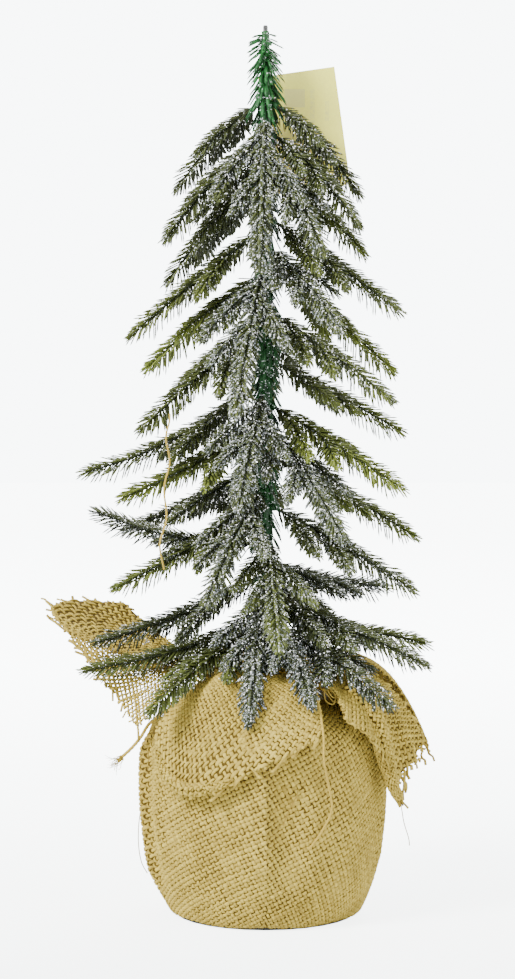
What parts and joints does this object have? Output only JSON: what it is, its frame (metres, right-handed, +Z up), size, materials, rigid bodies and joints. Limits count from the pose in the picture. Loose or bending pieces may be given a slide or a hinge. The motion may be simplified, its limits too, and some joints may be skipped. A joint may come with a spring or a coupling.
{
  "type": "artificial tabletop tree",
  "caption": "Frosted artificial mini pine with bendable sprigs on a wire trunk, standing in a weighted base wrapped and tied in burlap.",
  "frame": {"origin": "centre of the underside of the base pad", "axes": "+Z up along the trunk, -Y towards the front, +X to the right seen from the front"},
  "size_m": [0.1943, 0.1516, 0.45],
  "materials": {
    "burlap": "matte",
    "jute": "matte",
    "pad_felt": "matte",
    "cup_plastic": "matte",
    "cement": "matte",
    "wadding": "matte",
    "steel_wire": "satin",
    "green_sleeve": "matte",
    "leader_green": "matte",
    "frosted_needles": "matte",
    "tag_paper": "matte",
    "clear_thread": "gloss"
  },
  "bodies": {
    "base": {"base_cup": "cup_plastic", "base_pad": "pad_felt", "burlap_wrap": "burlap", "cement_fill": "cement", "collar_back": "burlap", "collar_front": "burlap", "collar_left": "burlap", "collar_right": "burlap", "loose_yarn_front": "jute", "neck_tie": "jute", "tag_thread": "clear_thread", "tie_end": "jute", "top_leader": "leader_green", "trunk_sleeve": "green_sleeve", "trunk_wire": "steel_wire", "wadding_ring": "wadding"},
    "sprig_back_01": {"branch_back_01": "frosted_needles"},
    "sprig_back_02": {"branch_back_02": "frosted_needles"},
    "sprig_back_03": {"branch_back_03": "frosted_needles"},
    "sprig_back_04": {"branch_back_04": "frosted_needles"},
    "sprig_front_01": {"branch_front_01": "frosted_needles"},
    "sprig_front_02": {"branch_front_02": "frosted_needles"},
    "sprig_front_03": {"branch_front_03": "frosted_needles"},
    "sprig_front_04": {"branch_front_04": "frosted_needles"},
    "sprig_front_05": {"branch_front_05": "frosted_needles"},
    "sprig_front_06": {"branch_front_06": "frosted_needles"},
    "sprig_front_07": {"branch_front_07": "frosted_needles"},
    "sprig_front_08": {"branch_front_08": "frosted_needles"},
    "sprig_front_09": {"branch_front_09": "frosted_needles"},
    "sprig_front_10": {"branch_front_10": "frosted_needles"},
    "sprig_left_01": {"branch_left_01": "frosted_needles"},
    "sprig_left_02": {"branch_left_02": "frosted_needles"},
    "sprig_left_03": {"branch_left_03": "frosted_needles"},
    "sprig_left_04": {"branch_left_04": "frosted_needles"},
    "sprig_left_05": {"branch_left_05": "frosted_needles"},
    "sprig_left_06": {"branch_left_06": "frosted_needles", "loose_yarn_branch": "jute"},
    "sprig_left_07": {"branch_left_07": "frosted_needles"},
    "sprig_left_08": {"branch_left_08": "frosted_needles"},
    "sprig_left_09": {"branch_left_09": "frosted_needles"},
    "sprig_left_10": {"branch_left_10": "frosted_needles"},
    "sprig_left_11": {"branch_left_11": "frosted_needles"},
    "sprig_left_12": {"branch_left_12": "frosted_needles"},
    "sprig_left_13": {"branch_left_13": "frosted_needles"},
    "sprig_left_14": {"branch_left_14": "frosted_needles"},
    "sprig_right_01": {"branch_right_01": "frosted_needles"},
    "sprig_right_02": {"branch_right_02": "frosted_needles"},
    "sprig_right_03": {"branch_right_03": "frosted_needles"},
    "sprig_right_04": {"branch_right_04": "frosted_needles"},
    "sprig_right_05": {"branch_right_05": "frosted_needles"},
    "sprig_right_06": {"branch_right_06": "frosted_needles"},
    "sprig_right_07": {"branch_right_07": "frosted_needles"},
    "sprig_right_08": {"branch_right_08": "frosted_needles"},
    "sprig_right_09": {"branch_right_09": "frosted_needles"},
    "sprig_right_10": {"branch_right_10": "frosted_needles"},
    "sprig_right_11": {"branch_right_11": "frosted_needles"},
    "sprig_right_12": {"branch_right_12": "frosted_needles"},
    "sprig_right_13": {"branch_right_13": "frosted_needles"},
    "sprig_right_14": {"branch_right_14": "frosted_needles"},
    "tag": {"hang_tag": "tag_paper"}
  },
  "joints": [
    {"name": "bend_back_01", "type": "hinge", "parent": "base", "child": "sprig_back_01", "pos_m": [-0.00416, 0.00375, 0.38332], "axis": [0.6691, 0.7431, 0], "range_deg": [-12, 12]},
    {"name": "bend_back_02", "type": "hinge", "parent": "base", "child": "sprig_back_02", "pos_m": [0.00019, 0.0056, 0.30973], "axis": [0.9994, -0.0349, 0], "range_deg": [-12, 12]},
    {"name": "bend_back_03", "type": "hinge", "parent": "base", "child": "sprig_back_03", "pos_m": [-0.00173, 0.00533, 0.2292], "axis": [0.9511, 0.309, 0], "range_deg": [-12, 12]},
    {"name": "bend_back_04", "type": "hinge", "parent": "base", "child": "sprig_back_04", "pos_m": [0.00173, 0.00533, 0.1681], "axis": [0.9511, -0.309, 0], "range_deg": [-10, 12]},
    {"name": "bend_front_01", "type": "hinge", "parent": "base", "child": "sprig_front_01", "pos_m": [-0.00039, -0.00559, 0.40276], "axis": [-0.9976, 0.0698, 0], "range_deg": [-12, 10]},
    {"name": "bend_front_02", "type": "hinge", "parent": "base", "child": "sprig_front_02", "pos_m": [0.00321, -0.00459, 0.38193], "axis": [-0.8192, -0.5736, 0], "range_deg": [-12, 12]},
    {"name": "bend_front_03", "type": "hinge", "parent": "base", "child": "sprig_front_03", "pos_m": [0.00345, -0.00441, 0.3375], "axis": [-0.788, -0.6157, 0], "range_deg": [-12, 12]},
    {"name": "bend_front_04", "type": "hinge", "parent": "base", "child": "sprig_front_04", "pos_m": [-0.00136, -0.00543, 0.32639], "axis": [-0.9703, 0.2419, 0], "range_deg": [-12, 12]},
    {"name": "bend_front_05", "type": "hinge", "parent": "base", "child": "sprig_front_05", "pos_m": [-0.00116, -0.00548, 0.26391], "axis": [-0.9781, 0.2079, 0], "range_deg": [-12, 12]},
    {"name": "bend_front_06", "type": "hinge", "parent": "base", "child": "sprig_front_06", "pos_m": [0.00297, -0.00475, 0.24863], "axis": [-0.848, -0.5299, 0], "range_deg": [-12, 12]},
    {"name": "bend_front_07", "type": "hinge", "parent": "base", "child": "sprig_front_07", "pos_m": [-0.00246, -0.00503, 0.21531], "axis": [-0.8988, 0.4384, 0], "range_deg": [-12, 12]},
    {"name": "bend_front_08", "type": "hinge", "parent": "base", "child": "sprig_front_08", "pos_m": [0.00059, -0.00557, 0.19032], "axis": [-0.9945, -0.1045, 0], "range_deg": [-12, 12]},
    {"name": "bend_front_09", "type": "hinge", "parent": "base", "child": "sprig_front_09", "pos_m": [0.00201, -0.00523, 0.15283], "axis": [-0.9336, -0.3584, 0], "range_deg": [-3, 12]},
    {"name": "bend_front_10", "type": "hinge", "parent": "base", "child": "sprig_front_10", "pos_m": [-0.00078, -0.00555, 0.16255], "axis": [-0.9903, 0.1392, 0], "range_deg": [-2, 12]},
    {"name": "bend_left_01", "type": "hinge", "parent": "base", "child": "sprig_left_01", "pos_m": [-0.00519, 0.0021, 0.4097], "axis": [0.3746, 0.9272, 0], "range_deg": [-12, 12]},
    {"name": "bend_left_02", "type": "hinge", "parent": "base", "child": "sprig_left_02", "pos_m": [-0.00515, -0.00219, 0.39026], "axis": [-0.3907, 0.9205, 0], "range_deg": [-12, 12]},
    {"name": "bend_left_03", "type": "hinge", "parent": "base", "child": "sprig_left_03", "pos_m": [-0.00536, 0.00164, 0.37221], "axis": [0.2924, 0.9563, 0], "range_deg": [-12, 12]},
    {"name": "bend_left_04", "type": "hinge", "parent": "base", "child": "sprig_left_04", "pos_m": [-0.00551, -0.00097, 0.34583], "axis": [-0.1736, 0.9848, 0], "range_deg": [-12, 12]},
    {"name": "bend_left_05", "type": "hinge", "parent": "base", "child": "sprig_left_05", "pos_m": [-0.00507, 0.00237, 0.32361], "axis": [0.4226, 0.9063, 0], "range_deg": [-12, 12]},
    {"name": "bend_left_06", "type": "hinge", "parent": "base", "child": "sprig_left_06", "pos_m": [-0.00464, -0.00313, 0.30001], "axis": [-0.5592, 0.829, 0], "range_deg": [-12, 12]},
    {"name": "bend_left_07", "type": "hinge", "parent": "base", "child": "sprig_left_07", "pos_m": [-0.0056, 0, 0.26807], "axis": [0, 1, 0], "range_deg": [-12, 12]},
    {"name": "bend_left_08", "type": "hinge", "parent": "base", "child": "sprig_left_08", "pos_m": [-0.00503, -0.00246, 0.25002], "axis": [-0.4384, 0.8988, 0], "range_deg": [-12, 12]},
    {"name": "bend_left_09", "type": "hinge", "parent": "base", "child": "sprig_left_09", "pos_m": [-0.00519, 0.0021, 0.22781], "axis": [0.3746, 0.9272, 0], "range_deg": [-12, 12]},
    {"name": "bend_left_10", "type": "hinge", "parent": "base", "child": "sprig_left_10", "pos_m": [-0.00558, 0.00049, 0.18893], "axis": [0.0872, 0.9962, 0], "range_deg": [-12, 12]},
    {"name": "bend_left_11", "type": "hinge", "parent": "base", "child": "sprig_left_11", "pos_m": [-0.00536, -0.00164, 0.20837], "axis": [-0.2924, 0.9563, 0], "range_deg": [-12, 12]},
    {"name": "bend_left_12", "type": "hinge", "parent": "base", "child": "sprig_left_12", "pos_m": [-0.00555, -0.00078, 0.17088], "axis": [-0.1392, 0.9903, 0], "range_deg": [-5, 12]},
    {"name": "bend_left_13", "type": "hinge", "parent": "base", "child": "sprig_left_13", "pos_m": [-0.00536, -0.00164, 0.14866], "axis": [-0.2924, 0.9563, 0], "range_deg": [-5, 12]},
    {"name": "bend_left_14", "type": "hinge", "parent": "base", "child": "sprig_left_14", "pos_m": [-0.00403, -0.00389, 0.14588], "axis": [-0.6947, 0.7193, 0], "range_deg": [-5, 12]},
    {"name": "bend_right_01", "type": "hinge", "parent": "base", "child": "sprig_right_01", "pos_m": [0.00559, 0.00039, 0.4097], "axis": [0.0698, -0.9976, 0], "range_deg": [-12, 12]},
    {"name": "bend_right_02", "type": "hinge", "parent": "base", "child": "sprig_right_02", "pos_m": [0.00519, -0.0021, 0.39443], "axis": [-0.3746, -0.9272, 0], "range_deg": [-12, 12]},
    {"name": "bend_right_03", "type": "hinge", "parent": "base", "child": "sprig_right_03", "pos_m": [0.00548, 0.00116, 0.3736], "axis": [0.2079, -0.9781, 0], "range_deg": [-12, 12]},
    {"name": "bend_right_04", "type": "hinge", "parent": "base", "child": "sprig_right_04", "pos_m": [0.00541, -0.00145, 0.35138], "axis": [-0.2588, -0.9659, 0], "range_deg": [-12, 12]},
    {"name": "bend_right_05", "type": "hinge", "parent": "base", "child": "sprig_right_05", "pos_m": [0.00533, 0.00173, 0.32917], "axis": [0.309, -0.9511, 0], "range_deg": [-12, 12]},
    {"name": "bend_right_06", "type": "hinge", "parent": "base", "child": "sprig_right_06", "pos_m": [0.00503, -0.00246, 0.30417], "axis": [-0.4384, -0.8988, 0], "range_deg": [-12, 12]},
    {"name": "bend_right_07", "type": "hinge", "parent": "base", "child": "sprig_right_07", "pos_m": [0.00555, 0.00078, 0.28057], "axis": [0.1392, -0.9903, 0], "range_deg": [-12, 12]},
    {"name": "bend_right_08", "type": "hinge", "parent": "base", "child": "sprig_right_08", "pos_m": [0.0049, -0.00271, 0.25835], "axis": [-0.4848, -0.8746, 0], "range_deg": [-12, 12]},
    {"name": "bend_right_09", "type": "hinge", "parent": "base", "child": "sprig_right_09", "pos_m": [0.00548, 0.00116, 0.23475], "axis": [0.2079, -0.9781, 0], "range_deg": [-12, 12]},
    {"name": "bend_right_10", "type": "hinge", "parent": "base", "child": "sprig_right_10", "pos_m": [0.00519, -0.0021, 0.20698], "axis": [-0.3746, -0.9272, 0], "range_deg": [-12, 12]},
    {"name": "bend_right_11", "type": "hinge", "parent": "base", "child": "sprig_right_11", "pos_m": [0.00494, 0.00263, 0.17782], "axis": [0.4695, -0.8829, 0], "range_deg": [-12, 12]},
    {"name": "bend_right_12", "type": "hinge", "parent": "base", "child": "sprig_right_12", "pos_m": [0.0056, 0.00019, 0.15144], "axis": [0.0349, -0.9994, 0], "range_deg": [-10, 12]},
    {"name": "bend_right_13", "type": "hinge", "parent": "base", "child": "sprig_right_13", "pos_m": [0.00519, -0.0021, 0.15977], "axis": [-0.3746, -0.9272, 0], "range_deg": [-12, 12]},
    {"name": "bend_right_14", "type": "hinge", "parent": "base", "child": "sprig_right_14", "pos_m": [0.00416, -0.00375, 0.1445], "axis": [-0.6691, -0.7431, 0], "range_deg": [-5, 12]},
    {"name": "tag_swing", "type": "hinge", "parent": "base", "child": "tag", "pos_m": [0.002, 0.0163, 0.4208], "axis": [1, 0, 0], "range_deg": [0, 60]}
  ]
}
